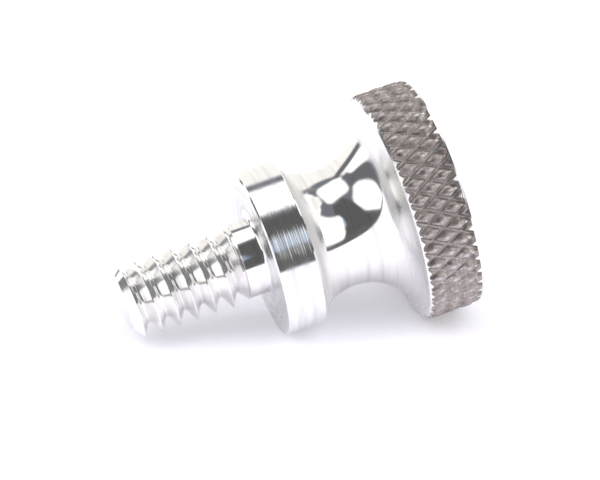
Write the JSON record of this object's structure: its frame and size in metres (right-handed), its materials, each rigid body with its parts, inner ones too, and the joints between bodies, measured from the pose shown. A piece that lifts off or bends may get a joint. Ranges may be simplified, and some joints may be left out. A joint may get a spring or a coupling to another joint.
{
  "type": "thumb screw",
  "caption": "Turned thumb screw with a short threaded shank, a round collar, a hollowed neck and a wide flat head with a diamond knurl.",
  "frame": {"origin": "centre of the flat end of the head, on the surface that the screw stands on", "axes": "+Z along the screw's axis, from the head towards the end of the thread; X and Y across it"},
  "size_m": [0.0132, 0.0132, 0.0191],
  "materials": {
    "bright_steel": "bright turned steel, polished in the neck, with fine turning marks on the collar and a knurled head"
  },
  "bodies": {
    "root": {"thumb_screw": "bright_steel"}
  },
  "joints": []
}
